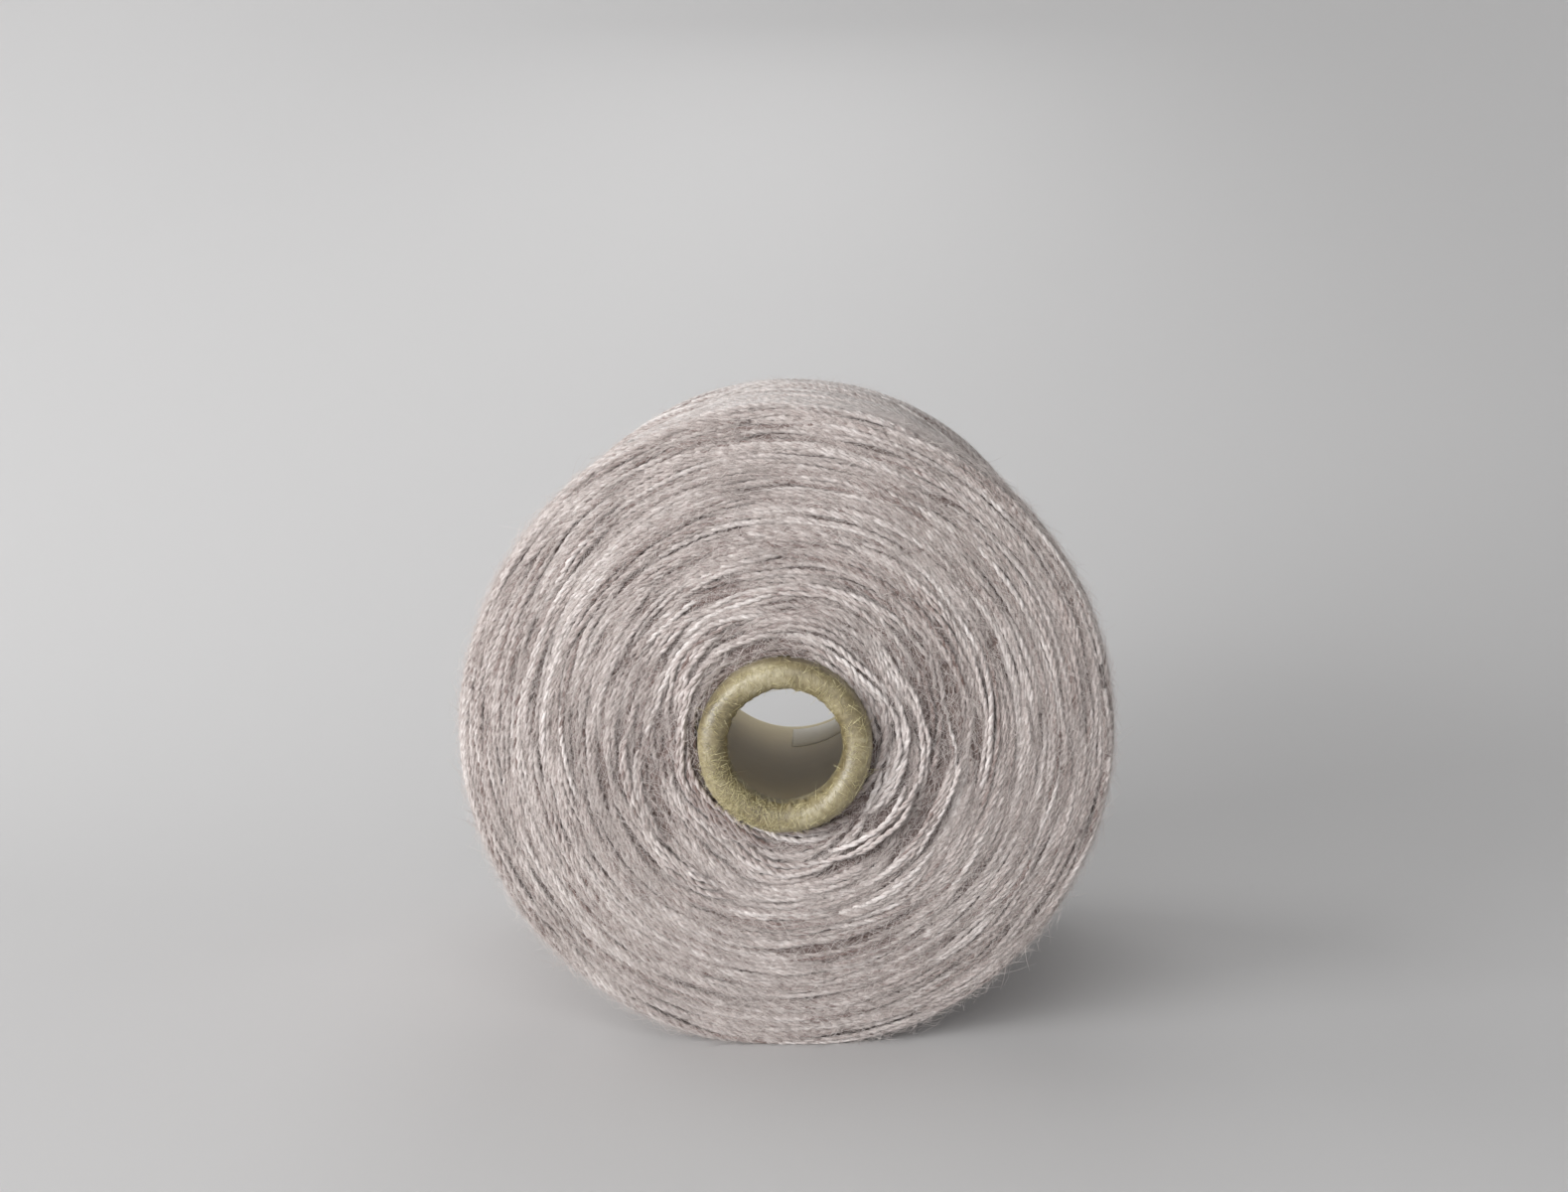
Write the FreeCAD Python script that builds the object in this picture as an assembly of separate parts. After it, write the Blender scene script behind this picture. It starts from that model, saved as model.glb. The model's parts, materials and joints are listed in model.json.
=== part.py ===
import FreeCAD, Part
import math
import os

# A cone of yarn: a tapered paper tube with a curled nose, wound with one yarn.
# It lies on its side on a table, with the nose towards -Y and the base towards +Y.
# Every piece is first drawn about its own axis: Z runs along the tube from the nose
# tip to the base, X is to the right, and Y points down once the cone lies.
# Lengths are millimetres and angles are degrees.

# Paper cone of the standard 4 degree 20 minute taper
CONE_LENGTH = 170.0
CONE_TAPER = 4.0 + 20.0 / 60.0
CONE_WALL = 2.2
NOSE_DIAMETER = 36.0
NOSE_BORE_DIAMETER = 24.0
NOSE_LAND = 4.0
NOSE_TAIL_RADIUS = 2.0

# Blank paper label glued inside the cone, low on the right and near the base
LABEL_LENGTH = 42.0
LABEL_WIDTH = 36.0
LABEL_THICKNESS = 0.25
LABEL_GLUE = 0.05
LABEL_TO_BASE = 7.0

# Yarn package: a raised shoulder at each end and a waist between them.
# The nose stands proud of its front face, least at the core and most at the rim.
PACKAGE_FRONT_DIAMETER = 139.8
NOSE_PROUD = 14.2
NOSE_PROUD_AT_CORE = 5.5
BASE_PROUD = 15.0
FRONT_EDGE_RADIUS = 3.0
BASE_EDGE_RADIUS = 4.0
SHOULDER_WIDTH = 6.0
SHOULDER_SLOPE = 15.0
RIDGE_WIDTH = 12.0
RIDGE_SLOPE = 9.0
FRONT_BULGE = 1.5
BASE_BULGE = 1.5
RIM_WIDTH = 0.5
YARN_TO_CONE = 0.1

# How deep the soft yarn is pressed flat where the package lies on the table
CONTACT_DEPTH = 1.5

# Turns of yarn that show, each winding one unbroken strand
TURNS = 24
STRAND_DIAMETER = 1.25
STRAND_SIDES = 8
STRAND_BEND = 1.6
STRAND_GAP = 0.1
STRAND_TO_TABLE = 0.15
SIDE_MARGIN = 1.5
SIDE_START_ANGLE = 215.0

AXIS = FreeCAD.Vector(0, 0, 1)
ORIGIN = FreeCAD.Vector(0, 0, 0)
FULL_TURN = 360.0
ARCS_PER_TURN = 4
SAMPLES_PER_ARC = 24

taper = math.radians(CONE_TAPER)
slant = FreeCAD.Vector(math.sin(taper), 0, math.cos(taper))
curl_radius = (NOSE_DIAMETER - NOSE_BORE_DIAMETER) / 4
curl_centre_r = NOSE_BORE_DIAMETER / 2 + curl_radius
curl_touch_z = curl_radius - curl_radius * math.sin(taper)
package_front = NOSE_PROUD
package_back = CONE_LENGTH - BASE_PROUD
strand_height = STRAND_GAP + STRAND_DIAMETER / 2
layer_depth = STRAND_GAP + STRAND_DIAMETER
waist_depth = (CONTACT_DEPTH + STRAND_TO_TABLE + layer_depth) / math.cos(taper)


def cone_outer(z):
    """Outer radius of the paper cone at z."""
    curl_touch_r = curl_centre_r + curl_radius * math.cos(taper)
    return curl_touch_r + (z - curl_touch_z) * math.tan(taper)


def cone_inner(z):
    """Inner radius of the paper cone at z, behind its curled nose."""
    return cone_outer(z) - CONE_WALL / math.cos(taper)


def yarn_seat(z):
    """Radius at which the yarn sits round the paper cone."""
    return cone_outer(z) + YARN_TO_CONE / math.cos(taper)


def package_hull(z):
    """Radius of the package measured over its two raised ends."""
    return PACKAGE_FRONT_DIAMETER / 2 + (z - package_front) * math.tan(taper)


def waist_front():
    """Where the waist begins, behind the front shoulder and its slope."""
    return package_front + FRONT_EDGE_RADIUS + SHOULDER_WIDTH + SHOULDER_SLOPE


def waist_back():
    """Where the waist ends, before the slope up to the ridge at the base."""
    return package_back - BASE_EDGE_RADIUS - RIDGE_WIDTH - RIDGE_SLOPE


def front_rim():
    """Inner radius of the rim round the front face."""
    return package_hull(package_front) - FRONT_EDGE_RADIUS - RIM_WIDTH


def base_rim():
    """Inner radius of the rim round the base face."""
    return package_hull(package_back) - BASE_EDGE_RADIUS - RIM_WIDTH


def at(r, z):
    """A point of an outline, in the half plane through the axis."""
    return FreeCAD.Vector(r, 0, z)


def waist_point(z):
    """A point of the waist's outline."""
    return at(package_hull(z) - waist_depth, z)


def arc_middle(start, leaving, end):
    """The middle of the arc from start to end that leaves start along a direction."""
    chord = end - start
    along = FreeCAD.Vector(chord).normalize()
    forward = FreeCAD.Vector(leaving).normalize()
    sideways = forward - along * forward.dot(along)
    half_turn = math.atan2(sideways.Length, forward.dot(along))
    rise = chord.Length / 2 * math.tan(half_turn / 2)
    return (start + end) * 0.5 + sideways.normalize() * rise


def arc_leaving(start, leaving, end):
    return Part.Arc(start, arc_middle(start, leaving, end), end).toShape()


def arc_arriving(start, end, arriving):
    return Part.Arc(start, arc_middle(end, arriving * -1, start), end).toShape()


def biarc_edges(start, leaving, end, arriving):
    """Two arcs that run smoothly from start to end with the directions given."""
    leaving = FreeCAD.Vector(leaving).normalize()
    arriving = FreeCAD.Vector(arriving).normalize()
    span = end - start
    both = leaving + arriving
    turn = 2 * (1 - leaving.dot(arriving))
    reach = math.sqrt(span.dot(both) ** 2 + turn * span.dot(span))
    handle = (reach - span.dot(both)) / turn
    joint = (start + end + (leaving - arriving) * handle) * 0.5
    return [arc_leaving(start, leaving, joint), arc_arriving(joint, end, arriving)]


class Outline:
    """An outline in the half plane through the axis, turned into a round solid."""

    def __init__(self, start):
        self.start = start
        self.end = start
        self.edges = []

    def line_to(self, point):
        self.edges.append(Part.LineSegment(self.end, point).toShape())
        self.end = point

    def arc_to(self, point, leaving):
        self.edges.append(arc_leaving(self.end, leaving, point))
        self.end = point

    def arc_through(self, middle, point):
        self.edges.append(Part.Arc(self.end, middle, point).toShape())
        self.end = point

    def ogee_to(self, point, direction):
        """A smooth step that leaves and arrives along one direction."""
        middle = (self.end + point) * 0.5
        self.edges.append(arc_leaving(self.end, direction, middle))
        self.edges.append(arc_arriving(middle, point, direction))
        self.end = point

    def turned(self, angle=FULL_TURN):
        self.line_to(self.start)
        return Part.Face(Part.Wire(self.edges)).revolve(ORIGIN, AXIS, angle)


class Dome:
    """The bulged end face of the package, from its seat on the paper cone to its rim."""

    def __init__(self, seat, rim, bulge, side):
        chord = rim - seat
        outwards = FreeCAD.Vector(-chord.z, 0, chord.x).normalize() * side
        self.seat = seat
        self.rim = rim
        self.side = side
        self.radius = ((chord.Length / 2) ** 2 + bulge ** 2) / (2 * bulge)
        self.crown = (seat + rim) * 0.5 + outwards * bulge
        self.centre = self.crown - outwards * self.radius

    def strand_point(self, r, angle):
        """Where the middle of a strand lies on the face, at radius r and an angle."""
        reach = self.radius + strand_height
        z = self.centre.z + self.side * math.sqrt(reach ** 2 - (r - self.centre.x) ** 2)
        return FreeCAD.Vector(r * math.cos(angle), r * math.sin(angle), z)

    def outward(self, r, angle):
        """The direction up the face, away from the axis."""
        rise = self.side * (self.centre.x - r) / (self.radius + strand_height)
        run = math.sqrt(1 - rise ** 2)
        return FreeCAD.Vector(run * math.cos(angle), run * math.sin(angle), rise)

    def end_reach(self, r):
        """How far along the radius a strand's straight end reaches, with its square tip."""
        outward = self.outward(r, 0)
        return STRAND_DIAMETER * outward.x + STRAND_DIAMETER / 2 * abs(outward.z)


def front_dome():
    """The front face, which runs forward to the core and leaves room for its strand."""
    seat_z = NOSE_PROUD_AT_CORE + layer_depth
    rim_z = package_front + layer_depth
    return Dome(at(yarn_seat(seat_z), seat_z), at(front_rim(), rim_z), FRONT_BULGE, -1)


def base_dome():
    """The base face, which leaves room for its strand."""
    z = package_back - layer_depth
    return Dome(at(yarn_seat(z), z), at(base_rim(), z), BASE_BULGE, 1)


def make_paper_cone():
    """The tapered tube with its edge curled in at the nose and cut square at the base."""
    bore = NOSE_BORE_DIAMETER / 2
    land_end = curl_radius + NOSE_LAND
    tail_end = land_end + NOSE_TAIL_RADIUS
    outline = Outline(at(cone_outer(CONE_LENGTH), CONE_LENGTH))
    outline.line_to(at(cone_outer(curl_touch_z), curl_touch_z))
    outline.arc_through(at(curl_centre_r, 0), at(bore, curl_radius))
    outline.line_to(at(bore, land_end))
    outline.arc_to(at(bore + NOSE_TAIL_RADIUS, tail_end), AXIS)
    outline.line_to(at(cone_inner(tail_end), tail_end))
    outline.line_to(at(cone_inner(CONE_LENGTH), CONE_LENGTH))
    return outline.turned()


def make_inside_label():
    """A blank paper patch that follows the inside of the cone, from the bottom to the right."""
    far_z = CONE_LENGTH - LABEL_TO_BASE
    near_z = far_z - LABEL_LENGTH
    glue = LABEL_GLUE / math.cos(taper)
    depth = (LABEL_GLUE + LABEL_THICKNESS) / math.cos(taper)
    outline = Outline(at(cone_inner(near_z) - glue, near_z))
    outline.line_to(at(cone_inner(far_z) - glue, far_z))
    outline.line_to(at(cone_inner(far_z) - depth, far_z))
    outline.line_to(at(cone_inner(near_z) - depth, near_z))
    sweep = math.degrees(LABEL_WIDTH / cone_inner((near_z + far_z) / 2))
    label = outline.turned(sweep)
    label.rotate(ORIGIN, AXIS, 90 - sweep)
    return label


def make_yarn_package():
    """The wound yarn under its outer turns, as one body round the cone."""
    front = front_dome()
    base = base_dome()
    shoulder_start = package_front + FRONT_EDGE_RADIUS
    shoulder_end = shoulder_start + SHOULDER_WIDTH
    ridge_end = package_back - BASE_EDGE_RADIUS
    ridge_start = ridge_end - RIDGE_WIDTH
    outline = Outline(front.seat)
    outline.arc_through(front.crown, front.rim)
    outline.line_to(at(front.rim.x, package_front))
    outline.line_to(at(front.rim.x + RIM_WIDTH, package_front))
    outline.arc_to(at(package_hull(shoulder_start), shoulder_start), at(1, 0))
    outline.line_to(at(package_hull(shoulder_end), shoulder_end))
    outline.ogee_to(waist_point(waist_front()), slant)
    outline.line_to(waist_point(waist_back()))
    outline.ogee_to(at(package_hull(ridge_start), ridge_start), slant)
    outline.line_to(at(package_hull(ridge_end), ridge_end))
    outline.arc_to(at(base.rim.x + RIM_WIDTH, package_back), slant)
    outline.line_to(at(base.rim.x, package_back))
    outline.line_to(base.rim)
    outline.arc_through(base.crown, base.seat)
    return outline.turned()


def strand_tube(name, lead_in, turns, lead_out):
    """One unbroken strand along joined edges, with its sizes printed."""
    edges = lead_in + turns + lead_out
    path = Part.Wire(edges)
    start = edges[0].Vertexes[0].Point
    heading = edges[0].Vertexes[-1].Point - start
    circle = Part.Circle(start, heading, STRAND_DIAMETER / 2).toShape()
    corners = circle.discretize(STRAND_SIDES + 1)
    shell = Part.BRepOffsetAPI.MakePipeShell(path)
    shell.add(Part.makePolygon(corners))
    shell.build()
    shell.makeSolid()
    tube = shell.shape()
    section = STRAND_SIDES / 2 * math.sin(2 * math.pi / STRAND_SIDES) * (STRAND_DIAMETER / 2) ** 2
    expected = section * path.Length
    print(
        f"{name}: {TURNS} turns, {path.Length:.0f} mm long, "
        f"least gap to itself {least_gap(turns):.2f} mm, "
        f"volume {tube.Volume / expected:.3f} of section times length"
    )
    return tube


def distance_to_segment(point, start, end):
    """Distance from a point to a straight stretch between two others."""
    run = end - start
    share = (point - start).dot(run) / run.dot(run)
    return (point - start - run * min(max(share, 0), 1)).Length


def wound_edges(place, heading):
    """The turns of a strand, as half turns that follow a place and a heading by angle."""
    edges = []
    for half in range(2 * TURNS):
        angle = half * math.pi
        following = angle + math.pi
        edges += biarc_edges(place(angle), heading(angle), place(following), heading(following))
    return edges


def least_gap(turn_edges):
    """Least gap between a strand and its own next turn, measured on points of its path."""
    points = [edge.discretize(SAMPLES_PER_ARC)[:-1] for edge in turn_edges]
    points = [point for stretch in points for point in stretch]
    window = ARCS_PER_TURN * (SAMPLES_PER_ARC - 1)
    nearest = math.inf
    for index in range(len(points) - window - 1):
        first = index + window // 2
        last = min(index + window * 3 // 2, len(points) - 1)
        for other in range(first, last):
            gap = distance_to_segment(points[index], points[other], points[other + 1])
            nearest = min(nearest, gap)
    return nearest - STRAND_DIAMETER


def make_face_turns(name, dome):
    """A spiral of yarn that covers an end face, from the paper cone out to the rim."""
    first_r = dome.seat.x + STRAND_GAP + dome.end_reach(dome.seat.x) + STRAND_BEND
    last_r = dome.rim.x - STRAND_GAP - dome.end_reach(dome.rim.x) - STRAND_BEND
    pitch = (last_r - first_r) / TURNS

    def radius(angle):
        return first_r + pitch * angle / (2 * math.pi)

    def place(angle):
        return dome.strand_point(radius(angle), angle)

    def heading(angle):
        r = radius(angle)
        climb = dome.outward(r, angle) * (pitch / (2 * math.pi))
        return FreeCAD.Vector(-r * math.sin(angle), r * math.cos(angle), 0) + climb

    in_angle = -STRAND_BEND / first_r
    setting_out = dome.outward(first_r - STRAND_BEND, in_angle)
    inner = dome.strand_point(first_r - STRAND_BEND, in_angle)
    lead_in = [Part.LineSegment(inner - setting_out * STRAND_DIAMETER, inner).toShape()]
    lead_in += biarc_edges(inner, setting_out, place(0), heading(0))

    last_angle = 2 * math.pi * TURNS
    out_angle = last_angle + STRAND_BEND / last_r
    running_out = dome.outward(last_r + STRAND_BEND, out_angle)
    outer = dome.strand_point(last_r + STRAND_BEND, out_angle)
    lead_out = biarc_edges(place(last_angle), heading(last_angle), outer, running_out)
    lead_out.append(Part.LineSegment(outer, outer + running_out * STRAND_DIAMETER).toShape())
    return strand_tube(name, lead_in, wound_edges(place, heading), lead_out)


def make_side_turns(name):
    """A helix of yarn round the waist, clear of the table that the raised ends rest on."""
    first_z = waist_front() + SIDE_MARGIN
    last_z = waist_back() - SIDE_MARGIN
    pitch = (last_z - first_z) / TURNS
    start_angle = math.radians(SIDE_START_ANGLE)

    def place(angle):
        z = first_z + pitch * angle / (2 * math.pi)
        r = waist_point(z).x + strand_height / math.cos(taper)
        turned = start_angle + angle
        return FreeCAD.Vector(r * math.cos(turned), r * math.sin(turned), z)

    def heading(angle):
        turned = start_angle + angle
        r = math.hypot(place(angle).x, place(angle).y)
        climb = pitch / (2 * math.pi)
        widen = climb * math.tan(taper)
        out = FreeCAD.Vector(math.cos(turned), math.sin(turned), 0)
        round_it = FreeCAD.Vector(-math.sin(turned), math.cos(turned), 0)
        return out * widen + round_it * r + AXIS * climb

    last_angle = 2 * math.pi * TURNS
    lead = heading(0).normalize() * STRAND_DIAMETER
    trail = heading(last_angle).normalize() * STRAND_DIAMETER
    lead_in = [Part.LineSegment(place(0) - lead, place(0)).toShape()]
    lead_out = [Part.LineSegment(place(last_angle), place(last_angle) + trail).toShape()]
    return strand_tube(name, lead_in, wound_edges(place, heading), lead_out)


def laid_down(shape):
    """The piece turned to lie on the table, centred over the origin."""
    front_y = curl_radius * math.cos(taper) - curl_centre_r * math.sin(taper) - curl_radius
    back_y = CONE_LENGTH * math.cos(taper) + cone_outer(CONE_LENGTH) * math.sin(taper)
    axis_height = package_hull(0) * math.cos(taper) - CONTACT_DEPTH
    move = FreeCAD.Vector(0, -(front_y + back_y) / 2, axis_height)
    turn = FreeCAD.Rotation(FreeCAD.Vector(1, 0, 0), CONE_TAPER - 90)
    placed = shape.copy()
    placed.Placement = FreeCAD.Placement(move, turn).multiply(shape.Placement)
    return placed


def pressed_flat(shape):
    """The piece with what would reach below the table taken off."""
    reach = CONE_LENGTH + PACKAGE_FRONT_DIAMETER
    corner = FreeCAD.Vector(-reach, -reach, -reach)
    below = Part.makeBox(2 * reach, 2 * reach, reach, corner)
    return shape.cut(below)


pieces = {
    "paper_cone": laid_down(make_paper_cone()),
    "inside_label": laid_down(make_inside_label()),
    "yarn_package": pressed_flat(laid_down(make_yarn_package())),
    "front_face_turns": laid_down(make_face_turns("front_face_turns", front_dome())),
    "side_turns": laid_down(make_side_turns("side_turns")),
    "base_face_turns": laid_down(make_face_turns("base_face_turns", base_dome())),
}
os.makedirs("parts", exist_ok=True)
for name, piece in pieces.items():
    piece.exportStep(f"parts/{name}.step")
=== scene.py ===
import json
import math
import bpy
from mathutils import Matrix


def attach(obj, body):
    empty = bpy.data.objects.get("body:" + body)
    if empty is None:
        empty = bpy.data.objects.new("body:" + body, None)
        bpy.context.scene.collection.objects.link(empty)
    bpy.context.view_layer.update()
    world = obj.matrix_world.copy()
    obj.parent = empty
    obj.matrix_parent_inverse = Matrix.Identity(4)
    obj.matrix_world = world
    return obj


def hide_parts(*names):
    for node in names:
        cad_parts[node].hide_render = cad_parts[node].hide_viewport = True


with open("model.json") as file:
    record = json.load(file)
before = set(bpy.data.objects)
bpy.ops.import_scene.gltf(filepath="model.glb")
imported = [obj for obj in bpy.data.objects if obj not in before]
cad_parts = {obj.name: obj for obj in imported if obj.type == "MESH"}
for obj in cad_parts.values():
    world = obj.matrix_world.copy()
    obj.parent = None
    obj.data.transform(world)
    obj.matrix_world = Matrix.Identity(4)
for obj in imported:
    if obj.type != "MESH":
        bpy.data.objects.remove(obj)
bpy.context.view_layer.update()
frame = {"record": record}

from types import SimpleNamespace

import bpy
import numpy as np
from mathutils import Matrix, Vector

# A cone of yarn that lies on its side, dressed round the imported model.
# Lengths are millimetres and angles are radians, unless a name says otherwise.
# A place on the cone is (r, angle, s): r from the cone's own axis, the angle from the
# right towards the top as seen from the nose, and s along the axis from the nose tip.

MM = 0.001
FULL_TURN = 2 * math.pi
MOUNTS = {mount["name"]: mount for mount in frame["record"]["mounts"]}
NOSE_MOUNT = MOUNTS["nose_bore"]
BASE_MOUNT = MOUNTS["base_end"]

# The cone's own directions in the frame
ALONG = np.array(BASE_MOUNT["axis"])
RIGHT = np.array([1.0, 0.0, 0.0])
OVER = np.cross(RIGHT, ALONG)
TAPER = math.asin(ALONG[2])

# Paper cone
CURL_RADIUS = 3.0
BORE_RADIUS = NOSE_MOUNT["dims"]["r_mm"]
NOSE_LAND = NOSE_MOUNT["dims"]["length_mm"]
CONE_WALL = 2.2
NOSE_TAIL = 2.0
TIP = np.array(NOSE_MOUNT["pos_m"]) / MM - ALONG * (CURL_RADIUS + NOSE_LAND / 2)
CONE_LENGTH = float((np.array(BASE_MOUNT["pos_m"]) / MM - TIP) @ ALONG)

# Yarn package
CORE_FRONT = 5.5
PACKAGE_FRONT = 14.2
PACKAGE_BACK = 155.0
FRONT_RADIUS = 69.9
FRONT_EDGE = 3.0
BASE_EDGE = 4.0
FACE_BULGE = 1.5
WAIST_DEPTH = 2.5
WAIST_RISE_FRONT = (23.0, 40.0)
WAIST_RISE_BACK = (129.0, 140.0)
TABLE_CLEARANCE = 0.1

# The yarn: how thick it is, how much that differs from strand to strand as a share, and
# the length in which its plies turn once
YARN_DIAMETER = 1.15
THICKNESS_SCATTER = 0.07
PLY_PITCH = 4.6

# Bunches of strands on the end faces. A pair is a value far from the paper cone, and what
# is added to it beside the cone.
BUNCH_SPACING = 20.0
MEMBER_SPACING = 0.67
MEMBER_SPREAD = 0.25
LEAN = (0.5, 1.9)
BOW = (0.2, 0.6)
LIFT = (0.17, 0.82)
ARCH = (1.1, 1.3)
# Painted shade: strands that lie deeper on an end face are coloured darker, more so beside the
# paper cone.
PAINTED_SHADE_BY_DEPTH = (0.2, 0.4)
WAVE_STRENGTH = (0.2, 0.8)

# The small dark gap between the nose and the yarn on its left
PIT_ANGLE = math.radians(172)
PIT_WIDTH = 1.0
PIT_SWEEP = 0.13
PIT_DEPTH = 7.0
PIT_STRAND_DIP = 3.0

# How far under the package's surface the body of yarn lies
BODY_SINK = 1.35

# The torn inner edge of the nose, with a small nub of paper
TORN_HEIGHT = 0.11
NUB_ANGLE = math.radians(-85)
NUB_HEIGHT = 0.8
NUB_PLACE = 1.9

# Blank label glued inside the paper cone
LABEL_LENGTH = 42.0
LABEL_WIDTH = 36.0
LABEL_TO_BASE = 7.0
LABEL_GLUE = 0.05
LABEL_THICKNESS = 0.25
LABEL_EDGE_THICKNESS = 0.02
LABEL_EDGE_WIDTH = 2.5

# Most triangles in one mesh of strands
PIECE_LIMIT = 190000

# Lamps: name, bearing and rise in degrees, then distance, width and height in metres, and
# power in watts. The room's own light comes from all sides.
ROOM_STRENGTH = 0.1
LAMPS = (
    ("window", 220, 10, 1.3, 0.7, 0.5, 11.0),
    ("window_side", 235, 10, 1.3, 0.7, 0.5, 5.3),
    ("room_left", 165, 38, 1.3, 0.8, 0.8, 3.4),
    ("room_front", 270, 25, 1.3, 0.8, 0.8, 4.4),
    ("room_top", 90, 75, 1.3, 0.8, 0.8, 1.2),
    ("room_right", 20, 30, 1.3, 0.8, 0.8, 1.8),
    ("room_back", 90, 50, 0.9, 0.4, 0.4, 0.7),
)


def cone_outer(s):
    """Outer radius of the paper cone."""
    touch_r = BORE_RADIUS + CURL_RADIUS + CURL_RADIUS * math.cos(TAPER)
    touch_s = CURL_RADIUS - CURL_RADIUS * math.sin(TAPER)
    return touch_r + (s - touch_s) * math.tan(TAPER)


def cone_inner(s):
    """Inner radius of the paper cone behind its curled nose."""
    return cone_outer(s) - CONE_WALL / math.cos(TAPER)


def ease(low, high, x):
    """0 below low, 1 above high, and a smooth step between."""
    t = np.clip((x - low) / (high - low), 0, 1)
    return t * t * (3 - 2 * t)


def nearer(pair, near):
    """The value of a pair where near is 0 far from the paper cone and 1 beside it."""
    far, added = pair
    return far + added * near


def turned_from(angle, middle):
    """How far an angle is from another, the short way round."""
    return np.angle(np.exp(1j * (angle - middle)))


def hull_radius(s):
    """Radius of the package over its two raised ends."""
    return FRONT_RADIUS + (s - PACKAGE_FRONT) * math.tan(TAPER)


def side_radius(s):
    """Radius of the package's side, with its waist and its two rounded edges."""
    waist = WAIST_DEPTH * (ease(*WAIST_RISE_FRONT, s) - ease(*WAIST_RISE_BACK, s))
    into_front = np.clip(FRONT_EDGE - (s - PACKAGE_FRONT), 0, FRONT_EDGE)
    into_back = np.clip(BASE_EDGE - (PACKAGE_BACK - s), 0, BASE_EDGE)
    front_drop = FRONT_EDGE - np.sqrt(FRONT_EDGE**2 - into_front**2)
    back_drop = BASE_EDGE - np.sqrt(BASE_EDGE**2 - into_back**2)
    return hull_radius(s) - waist - front_drop - back_drop


class Face:
    """One end face of the package: it runs out from the paper cone at core_s to its rim at
    rim_s, with a gentle bulge, and outward is -1 towards the nose and 1 towards the base."""

    def __init__(self, core_s, rim_s, edge, outward):
        self.core_s = core_s
        self.rim_s = rim_s
        self.outward = outward
        self.inner = float(cone_outer(core_s))
        self.outer = float(hull_radius(rim_s)) - edge
        self.edge = edge

    def level(self, r):
        """The face's place along the axis at radius r."""
        share = np.clip((r - self.inner) / (self.outer - self.inner), 0, 1)
        straight = self.core_s + (self.rim_s - self.core_s) * share
        over_edge = np.clip(r - self.outer, 0, self.edge)
        drop = self.edge - np.sqrt(self.edge**2 - over_edge**2)
        return straight + self.outward * (FACE_BULGE * 4 * share * (1 - share) - drop)


FRONT_FACE = Face(CORE_FRONT, PACKAGE_FRONT, FRONT_EDGE, -1)
BASE_FACE = Face(PACKAGE_BACK, PACKAGE_BACK, BASE_EDGE, 1)


def pit_share(r, angle):
    """1 in the middle of the small gap between the nose and the yarn, and 0 away from it."""
    out = (r - FRONT_FACE.inner) / PIT_WIDTH
    around = turned_from(angle, PIT_ANGLE) / PIT_SWEEP
    return np.exp(-(out**2)) * np.exp(-(around**2))


def placed(r, angle, s):
    """Points in the frame, in millimetres."""
    r, angle, s = np.broadcast_arrays(r, angle, s)
    return (
        TIP
        + s[..., None] * ALONG
        + (r * np.cos(angle))[..., None] * RIGHT
        + (r * np.sin(angle))[..., None] * OVER
    )


def radial(angle):
    """Unit directions away from the axis."""
    angle = np.asarray(angle)
    return np.cos(angle)[..., None] * RIGHT + np.sin(angle)[..., None] * OVER


def on_table(points):
    """Soft yarn that would reach into the table is pressed flat on it."""
    pressed = points.copy()
    pressed[..., 2] = np.maximum(pressed[..., 2], TABLE_CLEARANCE)
    return pressed


class Swell:
    """A smooth random height over a face or side, as waves that close round the axis."""

    def __init__(self, rng, turns, lengths, count=9):
        self.turns = rng.integers(turns[0], turns[1] + 1, count) * rng.choice([-1, 1], count)
        self.rates = FULL_TURN / rng.uniform(*lengths, count)
        self.phases = rng.uniform(0, FULL_TURN, count)
        self.scale = math.sqrt(2 / count)

    def __call__(self, angle, run):
        angle, run = np.asarray(angle)[..., None], np.asarray(run)[..., None]
        waves = np.sin(self.turns * angle + self.rates * run + self.phases)
        return waves.sum(-1) * self.scale


# Meshes


def mesh_object(name, vertices, loops, totals, uv=None, tint=None):
    """A mesh from flat arrays: vertices in millimetres, loops and loop totals of its faces."""
    mesh = bpy.data.meshes.new(name)
    mesh.vertices.add(len(vertices))
    mesh.vertices.foreach_set("co", (np.asarray(vertices) * MM).ravel())
    mesh.loops.add(len(loops))
    mesh.loops.foreach_set("vertex_index", np.asarray(loops, np.int32))
    mesh.polygons.add(len(totals))
    starts = np.concatenate([[0], np.cumsum(totals)[:-1]])
    mesh.polygons.foreach_set("loop_start", starts.astype(np.int32))
    mesh.polygons.foreach_set("use_smooth", np.full(len(totals), True))
    if uv is not None:
        layer = mesh.uv_layers.new(name="strand")
        layer.data.foreach_set("uv", np.asarray(uv, np.float32).ravel())
    if tint is not None:
        values = mesh.attributes.new("tint", "FLOAT", "POINT")
        values.data.foreach_set("value", np.asarray(tint, np.float32))
    mesh.update(calc_edges=True)
    mesh.validate()
    made = bpy.data.objects.new(name, mesh)
    bpy.context.scene.collection.objects.link(made)
    return made


def strand_frames(points, normals):
    """For strands of (strands, steps, 3) points: the directions across each strand and up
    from it, and the length run so far."""
    ahead = np.gradient(points, axis=1)
    ahead /= np.linalg.norm(ahead, axis=2, keepdims=True)
    across = np.cross(ahead, normals)
    across /= np.linalg.norm(across, axis=2, keepdims=True)
    up = np.cross(across, ahead)
    hops = np.linalg.norm(np.diff(points, axis=1), axis=2)
    length = np.concatenate([np.zeros((len(points), 1)), np.cumsum(hops, axis=1)], axis=1)
    return across, up, length


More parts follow.
